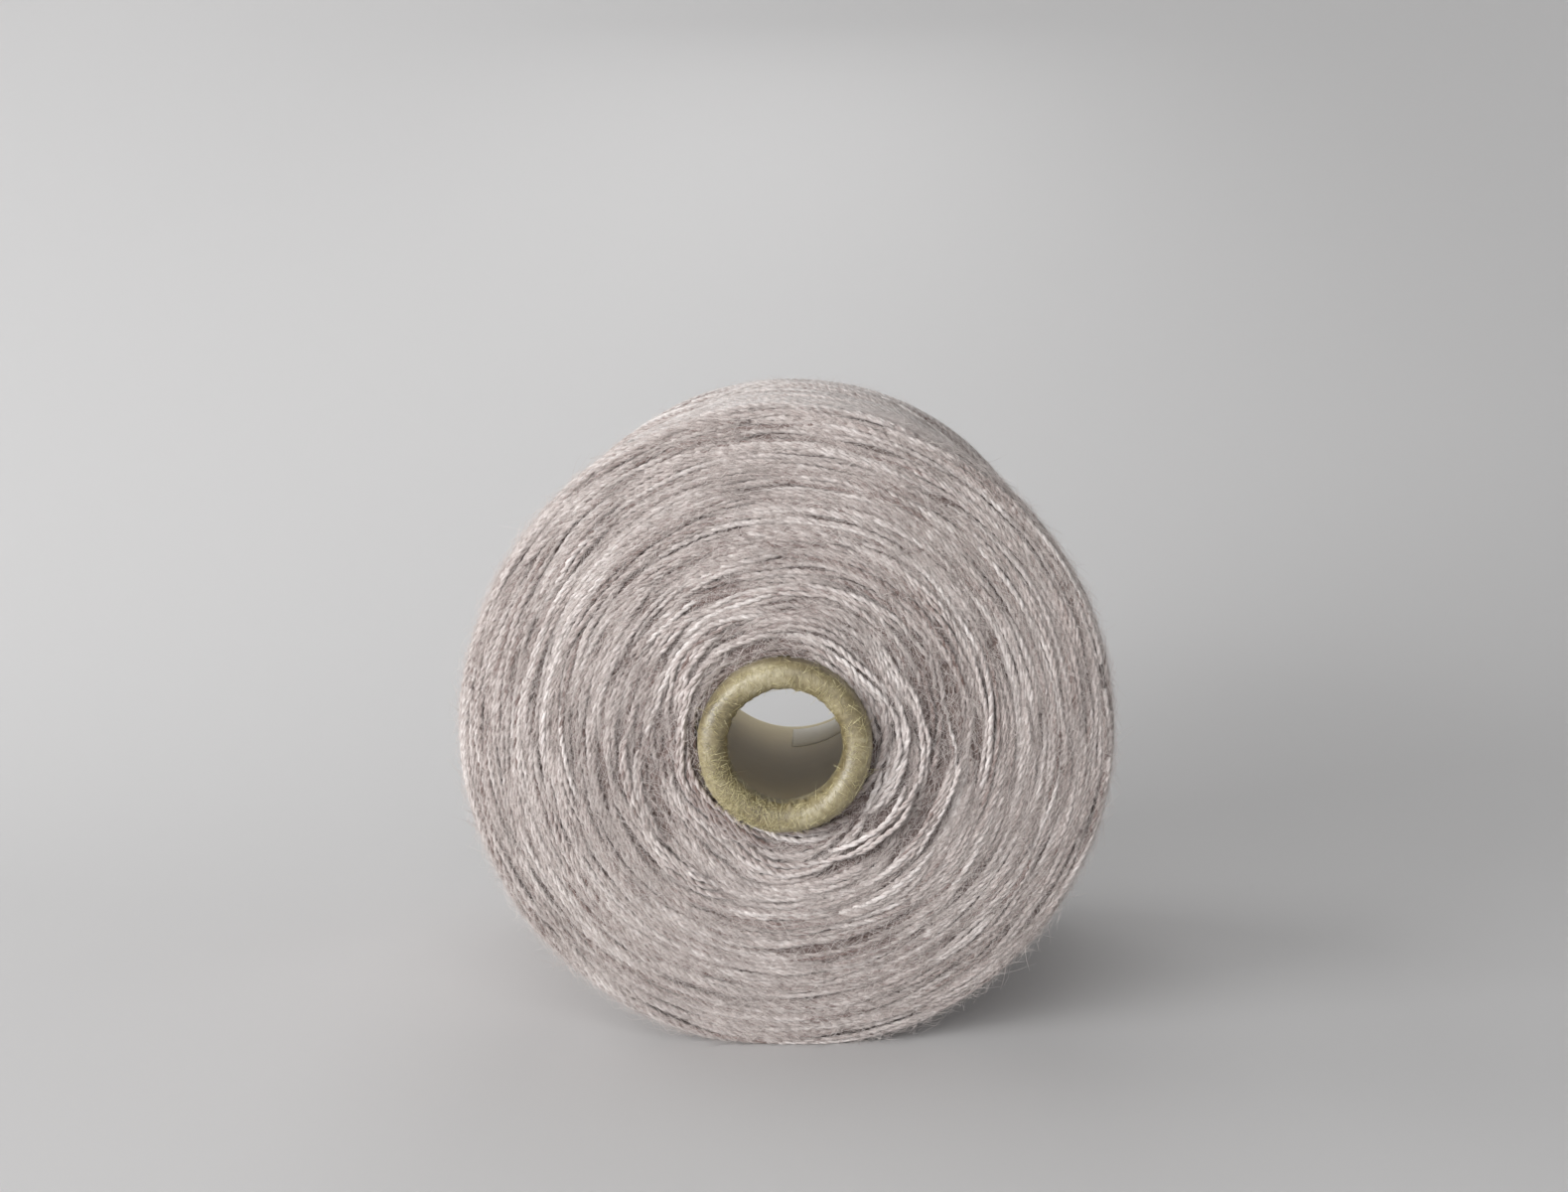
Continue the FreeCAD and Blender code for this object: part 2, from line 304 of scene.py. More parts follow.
def two_plies(points, normals, radii, tint, rng):
    """Each strand as the two plies that are twisted together in it. The shares are of the
    strand's own radius."""
    offset_share = 0.38
    radius_share = 0.66
    tint_scatter = 0.1
    across, up, length = strand_frames(points, normals)
    twist = FULL_TURN * (length / PLY_PITCH + rng.random((len(points), 1)))
    aside = (radii * offset_share)[..., None]
    offset = aside * (np.cos(twist)[..., None] * up + np.sin(twist)[..., None] * across)
    plies = np.concatenate([points + offset, points - offset])
    tints = np.tile(tint, (2, 1)) + rng.normal(0, tint_scatter, (2 * len(tint), 1))
    return plies, np.tile(normals, (2, 1, 1)), np.tile(radii * radius_share, (2, 1)), tints


def strand_mesh(name, points, normals, radii, tint, sides):
    """Round strands as one mesh. points and normals are (strands, steps, 3), and radii and
    tint (strands, steps)."""
    count, steps = points.shape[:2]
    across, up, length = strand_frames(points, normals)
    around = np.arange(sides) / sides
    turn = around * FULL_TURN
    reach = radii[..., None]
    rings = (
        points[:, :, None, :]
        + (reach * np.cos(turn))[..., None] * up[:, :, None, :]
        + (reach * np.sin(turn))[..., None] * across[:, :, None, :]
    )
    vertices = on_table(rings.reshape(-1, 3))
    index = np.arange(count * steps * sides).reshape(count, steps, sides)
    after = np.roll(index, -1, axis=2)
    quads = np.stack([index[:, :-1], after[:, :-1], after[:, 1:], index[:, 1:]], axis=-1)
    quads = quads.reshape(-1, 4)
    starts = index[:, 0, ::-1].reshape(-1, sides)
    ends = index[:, -1].reshape(-1, sides)
    loops = np.concatenate([quads.ravel(), starts.ravel(), ends.ravel()])
    totals = np.concatenate([np.full(len(quads), 4), np.full(2 * count, sides)])
    low, high = around, around + 1 / sides
    u0 = np.broadcast_to(length[:, :-1, None], (count, steps - 1, sides))
    u1 = np.broadcast_to(length[:, 1:, None], (count, steps - 1, sides))
    v0 = np.broadcast_to(low, u0.shape)
    v1 = np.broadcast_to(high, u0.shape)
    corners = [np.stack([u0, v0], -1), np.stack([u0, v1], -1)]
    corners += [np.stack([u1, v1], -1), np.stack([u1, v0], -1)]
    quad_uv = np.stack(corners, axis=3).reshape(-1, 2)
    cap_uv = np.zeros((2 * count * sides, 2))
    uv = np.concatenate([quad_uv, cap_uv])
    shade = np.repeat(np.clip(tint, 0, 1).ravel(), sides)
    return mesh_object(name, vertices, loops, totals, uv, shade)


def in_parts(name, sides, material, points, normals, radii, tint):
    """Strands in as many meshes as keep each one under the limit of triangles."""
    count, steps = points.shape[:2]
    each = (steps - 1) * sides * 2 + 2 * (sides - 2)
    parts = math.ceil(count * each / PIECE_LIMIT)
    pieces = []
    for part, chosen in enumerate(np.array_split(np.arange(count), parts)):
        made = strand_mesh(
            f"{name}_{part + 1}", points[chosen], normals[chosen], radii[chosen],
            tint[chosen], sides,
        )
        made.data.materials.append(material)
        pieces.append(made)
    return pieces


def turned_mesh(name, rings):
    """A closed round surface from (profile points, angles, 3) points, both ways round."""
    profile, turns = rings.shape[:2]
    index = np.arange(profile * turns).reshape(profile, turns)
    right = np.roll(index, -1, axis=1)
    down = np.roll(index, -1, axis=0)
    both = np.roll(down, -1, axis=1)
    quads = np.stack([index, right, both, down], axis=-1).reshape(-1, 4)
    return mesh_object(name, rings.reshape(-1, 3), quads.ravel(), np.full(len(quads), 4))


# Materials


class Shader:
    """A short way to write a material's nodes."""

    def __init__(self, name):
        self.material = bpy.data.materials.new(name)
        self.material.use_nodes = True
        self.tree = self.material.node_tree
        self.body = self.tree.nodes["Principled BSDF"]

    def node(self, kind, settings=None, **inputs):
        made = self.tree.nodes.new(kind)
        for key, value in (settings or {}).items():
            setattr(made, key, value)
        for key, value in inputs.items():
            self.give(made.inputs[key], value)
        return made

    def give(self, socket, value):
        if isinstance(value, bpy.types.NodeSocket):
            self.tree.links.new(value, socket)
        else:
            socket.default_value = value

    def math(self, operation, *values):
        made = self.tree.nodes.new("ShaderNodeMath")
        made.operation = operation
        for socket, value in zip(made.inputs, values):
            self.give(socket, value)
        return made.outputs[0]

    def noise(self, vector, scale, detail=2.0, roughness=0.5):
        made = self.node("ShaderNodeTexNoise", Vector=vector, Scale=scale)
        made.inputs["Detail"].default_value = detail
        made.inputs["Roughness"].default_value = roughness
        return made.outputs["Fac"]

    def ramp(self, factor, stops):
        made = self.node("ShaderNodeValToRGB", Fac=factor)
        ramp = made.color_ramp
        for index, (place, colour) in enumerate(stops):
            stop = ramp.elements[index] if index < 2 else ramp.elements.new(place)
            stop.position = place
            stop.color = (*colour, 1)
        return made.outputs["Color"]

    def mix(self, factor, first, second, blend="MIX"):
        made = self.node("ShaderNodeMix", {"data_type": "RGBA", "blend_type": blend})
        self.give(made.inputs[0], factor)
        self.give(made.inputs[6], first)
        self.give(made.inputs[7], second)
        return made.outputs[2]

    def bump(self, height, distance, strength=1.0):
        made = self.node("ShaderNodeBump", Height=height)
        made.inputs["Distance"].default_value = distance
        made.inputs["Strength"].default_value = strength
        self.tree.links.new(made.outputs["Normal"], self.body.inputs["Normal"])

    def finish(self, **sockets):
        for name, value in sockets.items():
            self.give(self.body.inputs[name.replace("_", " ")], value)
        return self.material


def linear(red, green, blue):
    """A colour as a screen shows it, 0 to 255, as the shader's linear values."""
    shares = [channel / 255 for channel in (red, green, blue)]
    return tuple(s / 12.92 if s <= 0.04045 else ((s + 0.055) / 1.055) ** 2.4 for s in shares)


def yarn_material(name, ply_depth, dark, middle, light):
    """Yarn with fibre streaks along it and a heathered colour. Where the plies aren't
    modelled, ply_depth brings them in as slanted bands: bumps, and light and dark bands of
    painted highlight and shade."""
    ply_painted_shade_weight = 0.2
    streak_weight = 0.62
    heather_weight = 0.45
    tint_weight = 0.55
    first_tone = -0.035
    streaks_along = 0.5
    streaks_across = 5.0
    streaks_by_tint = 9.0
    heather_scale = 620.0
    shader = Shader(name)
    strand = shader.node("ShaderNodeUVMap", {"uv_map": "strand"}).outputs["UV"]
    parts = shader.node("ShaderNodeSeparateXYZ", Vector=strand).outputs
    tint = shader.node("ShaderNodeAttribute", {"attribute_name": "tint"}).outputs["Fac"]
    turn = shader.math("MULTIPLY", parts[0], -1 / PLY_PITCH)
    slanted = shader.math("ADD", parts[1], turn)
    ply = shader.math("SINE", shader.math("MULTIPLY", slanted, 2 * FULL_TURN))
    streak_at = shader.node("ShaderNodeCombineXYZ")
    shader.give(streak_at.inputs[0], shader.math("MULTIPLY", parts[0], streaks_along))
    shader.give(streak_at.inputs[1], shader.math("MULTIPLY", slanted, streaks_across))
    shader.give(streak_at.inputs[2], shader.math("MULTIPLY", tint, streaks_by_tint))
    streak = shader.noise(streak_at.outputs[0], 1.0, detail=3.0, roughness=0.6)
    place = shader.node("ShaderNodeTexCoord").outputs["Object"]
    heather = shader.noise(place, heather_scale, detail=3.0, roughness=0.65)
    # Painted highlight and shade: the ply bands lighten and darken the colour.
    tone = shader.math("MULTIPLY_ADD", ply, ply_depth * ply_painted_shade_weight, first_tone)
    tone = shader.math("MULTIPLY_ADD", streak, streak_weight, tone)
    tone = shader.math("MULTIPLY_ADD", heather, heather_weight, tone)
    tone = shader.math("MULTIPLY_ADD", shader.math("SUBTRACT", tint, 0.5), tint_weight, tone)
    colour = shader.ramp(tone, [(0.20, dark), (0.80, light), (0.50, middle)])
    height = shader.math("MULTIPLY_ADD", streak, 0.7, shader.math("MULTIPLY", ply, ply_depth))
    shader.bump(height, distance=0.00018, strength=0.8)
    return shader.finish(
        Base_Color=colour, Roughness=0.92, Specular_IOR_Level=0.15, Sheen_Weight=0.35,
        Sheen_Roughness=0.6,
    )


def hair_material():
    """Loose yarn fibres, each in its own shade."""
    shader = Shader("yarn_fibre")
    tint = shader.node("ShaderNodeAttribute", {"attribute_name": "tint"}).outputs["Fac"]
    colour = shader.ramp(tint, [(0.0, linear(184, 172, 168)), (1.0, linear(226, 218, 214))])
    return shader.finish(
        Base_Color=colour, Roughness=0.7, Specular_IOR_Level=0.2, Sheen_Weight=0.3
    )


def body_material():
    """What shows in the gaps between the strands: yarn coloured darker as painted shade,
    mottled.
    """
    shader = Shader("yarn_depth_painted_shade")
    place = shader.node("ShaderNodeTexCoord").outputs["Object"]
    mottle = shader.noise(place, 900.0, detail=3.0, roughness=0.6)
    # Painted shade: the body's colours are darker than the yarn's own.
    colour = shader.ramp(mottle, [(0.3, linear(114, 98, 93)), (0.7, linear(150, 134, 129))])
    shader.bump(mottle, distance=0.0004)
    return shader.finish(Base_Color=colour, Roughness=0.95, Specular_IOR_Level=0.1)


def paper_material():
    """Rolled paper board: olive khaki, mottled, with short fibres that run over the curl.
    Behind the curl it is duller, and coloured paler as painted light for the light that falls
    into the bore."""
    cloud_scale = 110.0
    fibre_scale = 640.0
    fibre_squeeze = 0.03
    grain_scale = 2600.0
    cloud_weight = 0.58
    fibre_weight = 0.42
    inside_from = 12.0
    shader = Shader("cone_paper")
    place = shader.node("ShaderNodeTexCoord").outputs["Object"]
    parts = shader.node("ShaderNodeSeparateXYZ", Vector=place).outputs
    over = shader.math("SUBTRACT", parts[2], TIP[2] * MM)
    bearing = shader.math("ARCTAN2", parts[0], over)
    squares = shader.math("MULTIPLY", over, over)
    squares = shader.math("MULTIPLY_ADD", parts[0], parts[0], squares)
    fibre_at = shader.node("ShaderNodeCombineXYZ")
    shader.give(fibre_at.inputs[0], shader.math("MULTIPLY", bearing, fibre_squeeze))
    shader.give(fibre_at.inputs[1], parts[1])
    shader.give(fibre_at.inputs[2], shader.math("SQRT", squares))
    cloud = shader.noise(place, cloud_scale, detail=3.0, roughness=0.55)
    streak = shader.noise(fibre_at.outputs[0], fibre_scale, detail=5.0, roughness=0.72)
    grain = shader.noise(place, grain_scale, detail=2.0, roughness=0.6)
    tone = shader.math("MULTIPLY", streak, fibre_weight)
    tone = shader.math("MULTIPLY_ADD", cloud, cloud_weight, tone)
    stops = [
        (0.34, linear(88, 76, 48)),
        (0.66, linear(184, 174, 144)),
        (0.50, linear(141, 129, 95)),
    ]
    colour = shader.ramp(tone, stops)
    speck = shader.ramp(grain, [(0.58, (1, 1, 1)), (0.76, (0.72, 0.69, 0.6))])
    colour = shader.mix(1.0, colour, speck, "MULTIPLY")
    inward = shader.math("GREATER_THAN", parts[1], (TIP[1] + inside_from) * MM)
    # Painted light: behind the curl the paper takes a paler colour that stands for light in
    # the bore.
    painted_light_inner_colour = (*linear(218, 204, 166), 1)
    colour = shader.mix(shader.math("MULTIPLY", inward, 0.9), colour, painted_light_inner_colour)
    height = shader.math("MULTIPLY_ADD", streak, 0.5, shader.math("MULTIPLY", grain, 0.5))
    shader.bump(height, distance=0.0002, strength=0.8)
    roughness = shader.math("MULTIPLY_ADD", inward, 0.1, 0.42)
    shine = shader.math("MULTIPLY_ADD", inward, -0.7, 1.0)
    return shader.finish(Base_Color=colour, Roughness=roughness, Specular_IOR_Level=shine)


def paper_fibre_material():
    """Loose paper fibres on the nose, each in its own shade."""
    shader = Shader("paper_fibre")
    tint = shader.node("ShaderNodeAttribute", {"attribute_name": "tint"}).outputs["Fac"]
    colour = shader.ramp(tint, [(0.0, linear(176, 164, 122)), (1.0, linear(226, 217, 176))])
    return shader.finish(Base_Color=colour, Roughness=0.7, Specular_IOR_Level=0.2)


def label_material():
    """Matt white paper with a faint grain."""
    shader = Shader("label_paper")
    place = shader.node("ShaderNodeTexCoord").outputs["Object"]
    fibre = shader.noise(place, 700.0, detail=4.0, roughness=0.6)
    colour = shader.ramp(fibre, [(0.3, linear(236, 234, 230)), (0.7, linear(246, 245, 242))])
    shader.bump(fibre, distance=0.00008)
    return shader.finish(Base_Color=colour, Roughness=0.9, Specular_IOR_Level=0.1)


# The yarn


def face_bunches(rng, face, spacing):
    """Where the bunches of strands on an end face lie: the angle and radius of each middle,
    how near it is to the paper cone from 0 to 1, and how rough the winding is there. It is
    roughest at the left and right."""
    first_gap = 0.8
    past_edge = 1.4
    along_scatter = 4.0
    row_scatter = 0.3
    near_slope = 1.5
    rough_least = 0.42
    rough_aside = 0.58
    rough_above = 0.08
    rough_near = 0.6
    rows = np.arange(face.inner + first_gap, face.outer + past_edge, spacing)
    counts = np.maximum(4, np.round(FULL_TURN * rows / BUNCH_SPACING)).astype(int)
    row = np.repeat(rows, counts)
    turned = np.repeat(rng.uniform(0, FULL_TURN, len(rows)), counts)
    share = np.concatenate([np.arange(count) / count for count in counts])
    centre = turned + FULL_TURN * share + rng.normal(0, along_scatter, len(row)) / row
    near = np.clip(1 - near_slope * (row - face.inner) / (face.outer - face.inner), 0, 1)
    rough = rough_least + rough_aside * np.cos(centre) ** 2 + rough_above * np.sin(centre)
    rough = rough + (1 - rough) * rough_near * near
    return centre, row + rng.normal(0, spacing * row_scatter, len(row)), near, rough


def face_members(rng, face, spacing):
    """The single strands of an end face, side by side in their bunches. Each leans, bows
    and rises with its bunch, and a little on its own."""
    half_length = (13.0, 22.0)
    near_shortening = 0.25
    mean_shade = 0.5
    shade_scatter = 0.07
    members = (2, 4)
    lean_scatter = 0.18
    own_scatter = 0.12
    length_scatter = (0.8, 1.1)
    along_scatter = 2.5
    centre, row, near, rough = face_bunches(rng, face, spacing)
    lean = rng.normal(0, nearer(LEAN, near)) * rough
    bow = rng.normal(0, nearer(BOW, near)) * rough
    lift = rng.normal(0, nearer(LIFT, near)) * rough
    half = rng.uniform(*half_length, len(row)) * (1 - near_shortening * near)
    shade = rng.normal(mean_shade, shade_scatter, len(row))

    counts = rng.integers(members[0], members[1] + 1, len(row))
    bunch = np.repeat(np.arange(len(row)), counts)
    place = np.concatenate([np.arange(count) - (count - 1) / 2 for count in counts])
    total = len(bunch)
    near = near[bunch]
    row = row[bunch]
    lean = lean[bunch] + rng.normal(0, lean_scatter, total)
    bow = bow[bunch] + rng.normal(0, own_scatter, total)
    lift = lift[bunch] + rng.normal(0, own_scatter, total)
    half = half[bunch] * rng.uniform(*length_scatter, total)
    centre = centre[bunch] + rng.normal(0, along_scatter, total) / row
    apart = MEMBER_SPACING * (1 + MEMBER_SPREAD * near)
    beside = place * apart + rng.normal(0, own_scatter, total)
    return SimpleNamespace(
        near=near, rough=rough[bunch], row=row, lean=lean, bow=bow, lift=lift, half=half,
        centre=centre, beside=beside, shade=shade[bunch],
    )


def face_strands(rng, face, spacing, step):
    """Arcs of yarn that lie round an end face in bunches. Each bunch comes up from between
    its neighbours and dives again, and they lean and rise most near the paper cone."""
    mean_length = 34.0
    sway_width = 0.8
    loose_width = 0.12
    core_gap = 0.4
    seat_height = 0.25
    dive_power = 2.6
    bow_middle = 0.33
    loose_shift = 0.7
    near_thickening = 0.1
    end_thinning = 0.3
    shade_scatter = 0.13
    near_shade_scatter = 0.4
    painted_shade_heights = (-1.8, 0.1)
    sway = Swell(rng, turns=(2, 7), lengths=(20.0, 60.0), count=10)
    loose = Swell(rng, turns=(8, 24), lengths=(2.5, 6.0), count=14)
    strand = face_members(rng, face, spacing)
    near = strand.near
    count = len(near)
    t = np.linspace(-1, 1, round(mean_length / step))
    angle = strand.centre[:, None] + t * (strand.half / strand.row)[:, None]
    r = (strand.row + strand.beside)[:, None] + strand.lean[:, None] * t
    r = r + strand.bow[:, None] * (t * t - bow_middle)
    strength = (nearer(WAVE_STRENGTH, near) * strand.rough)[:, None]
    swayed = sway_width * strength * sway(angle, strand.row[:, None])
    r = r + swayed + loose_width * loose(angle, r)
    r = np.clip(r, face.inner + core_gap, face.outer + face.edge)
    arch = nearer(ARCH, near)[:, None] * np.abs(t) ** dive_power
    wave = loose_width * loose(angle, r + loose_shift)
    height = seat_height + strand.lift[:, None] + wave - arch
    pit = pit_share(r, angle)
    r = r + PIT_WIDTH * pit
    height = height - PIT_STRAND_DIP * pit
    s = face.level(r) + face.outward * (height - YARN_DIAMETER / 2)
    points = placed(r, angle, s)
    normals = np.broadcast_to(ALONG * face.outward, points.shape)
    thick = YARN_DIAMETER / 2 * (1 + near_thickening * near)
    thick = thick * rng.normal(1, THICKNESS_SCATTER, count)
    radii = thick[:, None] * (1 - end_thinning * np.abs(t) ** 6)
    scatter = rng.normal(0, shade_scatter, count) * (1 + near_shade_scatter * near)
    tint = (strand.shade + scatter)[:, None]
    # Painted shade: the deeper a strand lies, the darker its colour, and a little lighter on
    # top.
    tint = tint + nearer(PAINTED_SHADE_BY_DEPTH, near)[:, None] * np.clip(height, *painted_shade_heights)
    return points, normals, radii, tint


def make_face_yarn(name, seed, face, sides, spacing, step, material):
    """The strands of an end face, each of two plies."""
    rng = np.random.default_rng(seed)
    strands = face_strands(rng, face, spacing, step)
    plies = two_plies(*strands, rng)
    return in_parts(name, sides, material, *plies)


def side_strands(rng, count, direction, steps):
    """Yarn laid across the side at a low angle from end to end, turning at both ends."""
    wind_angle = math.radians(13.0)
    front_margin = (0.3, 5.5)
    back_margin = (0.3, 6.0)
    turn_share = 0.07
    start_scatter = 0.006
    drift_width = 0.9
    top_height = -0.25
    layers_depth = 0.85
    flutter_height = 0.22
    mean_tint = 0.55
    tint_scatter = 0.16
    painted_shade_by_depth = 0.3
    mean_height = -0.6
    mean_r = float(side_radius((PACKAGE_FRONT + PACKAGE_BACK) / 2))
    first = PACKAGE_FRONT + rng.uniform(*front_margin, count)
    last = PACKAGE_BACK - rng.uniform(*back_margin, count)
    swept = (last - first) / math.tan(wind_angle) / mean_r
    t = np.linspace(0, 1, steps)
    lead = ease(-turn_share, turn_share * 3, t) * t
    tail = 1 - (1 - t) * ease(-turn_share, turn_share * 3, 1 - t)
    travel = np.where(t < 0.5, lead, tail)
    start = np.arange(count) * FULL_TURN / count + rng.normal(0, start_scatter, count)
    angle = start[:, None] + direction * t * swept[:, None] * (1 + 2 * turn_share)
    waves = t * rng.uniform(1, 3, count)[:, None] + rng.random(count)[:, None]
    drift = drift_width * np.sin(FULL_TURN * waves) * np.minimum(t, 1 - t) * 2
    s = first[:, None] + (last - first)[:, None] * travel + drift
    layer = rng.uniform(0, 1, count)[:, None]
    flutter = Swell(rng, turns=(3, 14), lengths=(9.0, 30.0))
    height = top_height - layers_depth * layer + flutter_height * flutter(angle, s)
    r = side_radius(s) + height
    points = placed(r, angle, s)
    normals = radial(angle)
    thick = YARN_DIAMETER / 2 * rng.normal(1, THICKNESS_SCATTER, count)
    radii = np.broadcast_to(thick[:, None], r.shape)
    tint = rng.normal(mean_tint, tint_scatter, count)[:, None]
    # Painted shade: strands in the lower layers are coloured darker, and those on top lighter.
    tint = tint + painted_shade_by_depth * (height - mean_height)
    return points, normals, radii, tint


def make_side_yarn(material):
    """The crossed strands of the side: one set for each way that the yarn travels."""
    strand_count = 86
    steps = 200
    sides = 5
    pieces = []
    for name, seed, direction in (("side_yarn_out", 21, 1), ("side_yarn_back", 22, -1)):
        strands = side_strands(np.random.default_rng(seed), strand_count, direction, steps)
        pieces += in_parts(name, sides, material, *strands)
    return pieces


def make_yarn_body(material):
    """The winding under the strands that show, as a closed ring round the cone. Its rings
    crowd towards the nose, where the small dark gap is."""
    turns = 256
    side_rings = 70
    front_rings = 30
    base_rings = 24
    core_gap = 0.2
    crowding = 1.6
    side_s = np.linspace(PACKAGE_FRONT + FRONT_EDGE, PACKAGE_BACK - BASE_EDGE, side_rings)
    front_width = FRONT_FACE.outer - FRONT_FACE.inner - core_gap
    share = np.linspace(0, 1, front_rings) ** crowding
    front_r = FRONT_FACE.inner + core_gap + front_width * share
    base_r = np.linspace(BASE_FACE.outer, BASE_FACE.inner + core_gap, base_rings)
    r = np.concatenate([front_r, side_radius(side_s) - BODY_SINK, base_r])
    s = np.concatenate(
        [FRONT_FACE.level(front_r) + BODY_SINK, side_s, BASE_FACE.level(base_r) - BODY_SINK]
    )
    angle = np.arange(turns) * FULL_TURN / turns
    sunk = PIT_DEPTH * pit_share(r[:, None], angle[None, :]) * (s < PACKAGE_FRONT)[:, None]
    rings = on_table(placed(r[:, None], angle[None, :], s[:, None] + sunk))
    made = turned_mesh("yarn_body", rings)
    made.data.materials.append(material)
    return made


# Loose fibres


def make_fibres(name, rng, root, way, lift, length, width, material):
    """Loose fibres: thin strands that leave their roots, rise, and curl back."""
    sides = 3
    fall = 1.6
    curl_share = 0.14
    thinned_by = 0.7
    count = len(root)
    t = np.linspace(0, 1, 4)
    curl = rng.normal(0, 1, (count, 3))
    curl -= (curl * way).sum(1, keepdims=True) * way
    path = root[:, None, :] + (way * length[:, None])[:, None, :] * t[None, :, None]
    path = path + lift[:, None, :] * (t * (fall - t))[None, :, None]
    path = path + (curl * length[:, None] * curl_share)[:, None, :] * (t**2)[None, :, None]
    normals = np.broadcast_to(ALONG + 0.01, path.shape)
    radii = width[:, None] / 2 * (1 - thinned_by * t)[None, :]
    tint = np.repeat(rng.random(count)[:, None], len(t), axis=1)
    return in_parts(name, sides, material, path, normals, radii, tint)


def make_face_fibres(name, seed, face, count, material):
    """Fuzz over an end face, mostly in line with the yarn there."""
    past_edge = 1.5
    root_height = (-0.3, 0.4)
    shortest = 1.0
    thickness = (0.05, 0.1)
    rng = np.random.default_rng(seed)
    r = np.sqrt(rng.uniform(face.inner**2, (face.outer + past_edge) ** 2, count))
    angle = rng.uniform(0, FULL_TURN, count)
    root = placed(r, angle, face.level(r) + face.outward * rng.uniform(*root_height, count))
    round_it = np.cross(radial(angle), ALONG) * rng.choice([-1, 1], count)[:, None]
    way = round_it + radial(angle) * rng.normal(0, 1.0, count)[:, None]
    way /= np.linalg.norm(way, axis=1, keepdims=True)
    length = rng.gamma(3.0, 0.9, count) + shortest
    lift = ALONG * face.outward * (rng.gamma(2.0, 0.35, count))[:, None]
    width = rng.uniform(*thickness, count)
    return make_fibres(name, rng, root, way, lift, length, width, material)


def make_side_fibres(name, seed, count, material):
    """Fuzz over the side and its two edges, thickest at the front edge, as a halo."""
    end_gap = 0.2
    root_depth = 0.2
    front_share = 0.35
    front_band = (0.1, 7)
    shortest = 1.0
    thickness = (0.045, 0.08)
    rng = np.random.default_rng(seed)
    s = rng.uniform(PACKAGE_FRONT + end_gap, PACKAGE_BACK - end_gap, count)
    at_rim = rng.random(count) < front_share
    s[at_rim] = PACKAGE_FRONT + rng.uniform(*front_band, at_rim.sum())
    angle = rng.uniform(0, FULL_TURN, count)
    root = placed(side_radius(s) - root_depth, angle, s)
    round_it = np.cross(radial(angle), ALONG) * rng.choice([-1, 1], count)[:, None]
    way = round_it + ALONG * rng.normal(0, 0.5, count)[:, None]
    way /= np.linalg.norm(way, axis=1, keepdims=True)
    length = rng.gamma(3.0, 1.0, count) + shortest
    lift = radial(angle) * (rng.gamma(2.0, 0.5, count))[:, None]
    width = rng.uniform(*thickness, count)
    return make_fibres(name, rng, root, way, lift, length, width, material)


# The paper


def make_paper_cone(material):
    """The tapered tube with its slightly lumpy curled nose, torn inner edge and small nub.
    Its profile runs up the outside, round the curl and back down the inside."""
    turns = 440
    nose_reach = 14.0
    lump_height = 0.05
    edge_width = 1.3
    edge_depth = 1.5
    nub_width = 0.45
    nub_length = 0.7
    rng = np.random.default_rng(5)
    curl_r = BORE_RADIUS + CURL_RADIUS
    outer_s = np.concatenate([np.linspace(CONE_LENGTH, 24, 60), np.linspace(22, 4, 10)])
    curl = np.linspace(-TAPER, math.pi, 44)
    land_s = np.linspace(CURL_RADIUS, CURL_RADIUS + NOSE_LAND, 9)[1:]
    tail = np.linspace(0, math.pi / 2, 8)[1:]
    tail_s = CURL_RADIUS + NOSE_LAND + NOSE_TAIL
    inner_s = np.concatenate([np.linspace(tail_s, 24, 12), np.linspace(26, CONE_LENGTH, 60)])
    r = np.concatenate([
        cone_outer(outer_s),
        curl_r + CURL_RADIUS * np.cos(curl),
        np.full(len(land_s), BORE_RADIUS),
        BORE_RADIUS + NOSE_TAIL * (1 - np.cos(tail)),
        cone_inner(inner_s),
    ])
    s = np.concatenate([
        outer_s,
        CURL_RADIUS - CURL_RADIUS * np.sin(curl),
        land_s,
        CURL_RADIUS + NOSE_LAND + NOSE_TAIL * np.sin(tail),
        inner_s,
    ])
    angle = np.arange(turns) * FULL_TURN / turns
    r_grid = np.repeat(r[:, None], turns, axis=1)
    s_grid = np.repeat(s[:, None], turns, axis=1)
    lumps = Swell(rng, turns=(2, 9), lengths=(6.0, 30.0))(angle[None, :], s_grid + r_grid)
    nose = np.exp(-((s_grid / nose_reach) ** 2))
    r_grid = r_grid + lump_height * lumps * nose
    inner_edge = r_grid < BORE_RADIUS + edge_depth
    torn = Swell(rng, turns=(10, 46), lengths=(8.0, 30.0), count=16)(angle[None, :], s_grid)
    lip = np.exp(-(((s_grid - CURL_RADIUS) / edge_width) ** 2)) * inner_edge
    from_nub = turned_from(angle, NUB_ANGLE)[None, :] * BORE_RADIUS
    nub_along = np.exp(-(((s_grid - NUB_PLACE) / nub_length) ** 2))
    nub = np.exp(-((from_nub / nub_width) ** 2)) * nub_along * inner_edge
    r_grid = r_grid - TORN_HEIGHT * lip * torn - NUB_HEIGHT * nub
    made = turned_mesh("paper_tube", placed(r_grid, angle[None, :], s_grid))
    made.data.materials.append(material)
    return made


